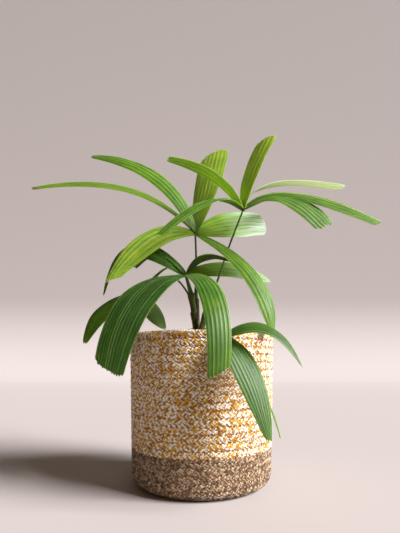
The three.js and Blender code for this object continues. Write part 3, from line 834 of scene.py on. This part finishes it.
def make_basket():
    """The coil: upper and lower mottled rows, their lining at the rim, jute band, sole, and the core of
    painted shade.
    """
    cotton = [
        ("white", 0.46, spun_yarn("bleached_cotton_yarn", "#f6f3e8")),
        ("mustard", 0.37, spun_yarn("mustard_cotton_yarn", "#d8a424")),
        ("amber", 0.17, spun_yarn("amber_cotton_yarn", "#9c5f16")),
    ]
    jute = [
        ("tan", 0.36, spun_yarn("raw_jute_yarn", "#c0aa8a", 0.95)),
        ("brown", 0.34, spun_yarn("brown_jute_yarn", "#82664c", 0.95)),
        ("umber", 0.3, spun_yarn("umber_jute_yarn", "#4e3a2a", 0.95)),
    ]
    middle, band_end = MOTTLED_ROWS // 2, MOTTLED_ROWS + FINE_BAND_ROWS
    sole_end = MOTTLED_ROWS + round(section_length(BASKET["band_height"]) / ROW_PITCH)
    make_braid("mottled_upper", range(-1, middle), cotton)
    make_braid("mottled_lower", range(middle, MOTTLED_ROWS), cotton)
    make_braid("mottled_lining", range(-1, LINING_ROWS), cotton, COARSE, inside=True)
    make_braid("jute_band", range(MOTTLED_ROWS, band_end), jute)
    make_braid("jute_sole", range(band_end, sole_end), jute, COARSE)
    make_core(woven_shade())


# Potting mix

def mound_height(radius):
    """Height of the mix's mound: level over the plateau, and falling evenly from there to the edge."""
    fall = np.clip((radius - MIX["plateau_radius"]) / (MIX["radius"] - MIX["plateau_radius"]), 0, 1)
    return MIX["top"] + (MIX["edge_top"] - MIX["top"]) * fall


def make_mix(mix_material):
    """Top of the potting mix, closed underneath: a low mound with crossing sine waves and random grain, and
    loose crumbs of bark."""
    reach = np.linspace(0, MIX["radius"], MIX["rings"] + 1)[1:]
    radius, turn = np.meshgrid(reach, round_angles(MIX["sides"]), indexing="ij")
    limits = ((0, 6), (0.15, 0.9), (0, 6))
    headings, pitches, starts = (rng.uniform(*pair, MIX["waves"]) for pair in limits)
    waves = sum(np.sin(radius * np.cos(turn - heading) * pitch + start)
                for heading, pitch, start in zip(headings, pitches, starts))
    height = mound_height(radius) + MIX["wave_height"] * waves + rng.normal(0, MIX["grain"], radius.shape)
    base_height = MIX["edge_top"] - MIX["depth"]
    rings = turned(radius, turn, height)
    rings = np.concatenate([rings, rings[-1:]])
    rings[-1, :, 2] = base_height
    points = np.concatenate([rings.reshape(-1, 3), [[0, 0, MIX["top"]], [0, 0, base_height]]])
    pile = Pile()
    pile.add(points, [faces[:, ::-1] for faces in capped_faces(len(rings), MIX["sides"])])
    for _ in range(MIX["crumbs"]):
        far = math.sqrt(rng.random()) * (MIX["radius"] - CRUMB["margin"])
        way = rng.uniform(0, 2 * math.pi)
        centre = turned(far, way, mound_height(far) + CRUMB["lift"])
        add_crumb(pile, centre, rng.uniform(*MIX["crumb_size"]))
    build_piece("potting_mix_top", pile, mix_material, ["potting_mix"], sharp_angle=40)


def add_crumb(pile, centre, size):
    """Adds a crumb: a ball of two rings and two poles, its points pushed in and out at random, flattened."""
    rings = turned(1.0, round_angles(CRUMB["sides"]), np.array([[-CRUMB["ring"]], [CRUMB["ring"]]]))
    points = np.concatenate([rings.reshape(-1, 3), [-CRUMB["pole"] * UP, CRUMB["pole"] * UP]])
    points = points * rng.uniform(*CRUMB["rough"], (len(points), 1)) * size
    points = points * rng.uniform(CRUMB["least"], CRUMB["most"])
    pile.add(points + centre, capped_faces(2, CRUMB["sides"]))


# Studio

def make_stage():
    """Seamless paper: a floor that curves up behind into a wall, one profile carried sideways."""
    half_width, front, back, bend, wall_top = 4000.0, -3000.0, 2600.0, 800.0, 4500.0
    floor_rows, curve_rows, columns = 12, 17, 9
    turn = np.linspace(-0.5 * math.pi, 0, curve_rows)
    floor = np.stack([np.linspace(front, back, floor_rows), np.zeros(floor_rows)], axis=-1)
    curve = np.stack([back + bend * np.cos(turn), bend + bend * np.sin(turn)], axis=-1)[1:]
    profile = np.concatenate([floor, curve, [[back + bend, wall_top]]])
    across, y = np.meshgrid(np.linspace(-half_width, half_width, columns), profile[:, 0])
    z = np.broadcast_to(profile[:, 1:], y.shape)
    points = np.stack([across, y, z], axis=-1) * MM
    mesh = bpy.data.meshes.new("studio_floor")
    mesh.from_pydata(points.reshape(-1, 3).tolist(), [], grid_faces(*y.shape).tolist())
    mesh.polygons.foreach_set("use_smooth", np.ones(len(mesh.polygons), bool))
    mesh.materials.append(studio_paper())
    floor_object = add_to_scene("studio_floor", mesh)


def make_studio():
    """Plain soft light: a key from the right, like a window, a weak fill from the front, and a dim room."""
    key = bpy.data.lights.new("window_key", "SUN")
    key.energy = 9.5
    key.angle = math.radians(28)
    key.color = colour("#fdfbff")[:3]
    turn, rise = math.radians(69), math.radians(34)
    towards_key = Vector((math.sin(turn) * math.cos(rise), -math.cos(turn) * math.cos(rise), math.sin(rise)))
    add_to_scene("window_key", key).rotation_euler = towards_key.to_track_quat("Z", "Y").to_euler()

    fill = bpy.data.lights.new("front_fill", "AREA")
    fill.size = 0.8
    fill.energy = 2.6
    fill.color = colour("#ffe0bc")[:3]
    place, aim = Vector((0.5, -1.7, 0.9)), Vector((0, 0, 0.2))
    softbox = add_to_scene("front_fill", fill)
    softbox.location = place
    softbox.rotation_euler = (aim - place).to_track_quat("-Z", "Y").to_euler()

    world = bpy.data.worlds.new("soft_room")
    world.use_nodes = True
    world.node_tree.nodes.clear()
    node = partial(add_node, world.node_tree)
    # The room lights the plant only faintly, and is pale where it is seen past the paper's edge
    dim = node("Background", {"Color": "#ffdcaa", "Strength": 0.08})
    seen = node("Background", {"Color": "#c9c1bd", "Strength": 1.0})
    ray = node("LightPath")
    room = node("MixShader", {0: ray.outputs["Is Camera Ray"], 1: dim, 2: seen})
    node("OutputWorld", {"Surface": room})
    bpy.context.scene.world = world
    bpy.context.scene.view_settings.view_transform = "Standard"


def make_camera():
    """Level camera in front of the basket. Its main point is low in the frame, so the view is shifted up."""
    frame_width, frame_height = 400, 533
    focal_pixels = 400.0
    main_point = (201.5, 362.0)
    distance, height = 568.0, 169.0
    lens = bpy.data.cameras.new("photo_camera")
    lens.sensor_fit = "VERTICAL"
    lens.sensor_height = 36.0
    lens.lens = lens.sensor_height * focal_pixels / frame_height
    lens.shift_x = (0.5 * frame_width - main_point[0]) / frame_height
    lens.shift_y = (main_point[1] - 0.5 * frame_height) / frame_height
    lens.clip_start = 0.01
    camera = add_to_scene("photo_camera", lens)
    camera.location = (0.0, -distance * MM, height * MM)
    camera.rotation_euler = (0.5 * math.pi, 0.0, 0.0)
    bpy.context.scene.camera = camera


make_camera()
make_stage()
make_studio()

leaf_material, stalk_material, fibre_material = living_leaf_blade(), green_stalk(), fibrous_cane()
for name, frond in FRONDS.items():
    make_frond(name, frond, leaf_material)
    make_stalk(name, frond, stalk_material)
for name, cane in CANES.items():
    make_cane(name, cane, fibre_material)
make_basket()
make_mix(moist_mix())
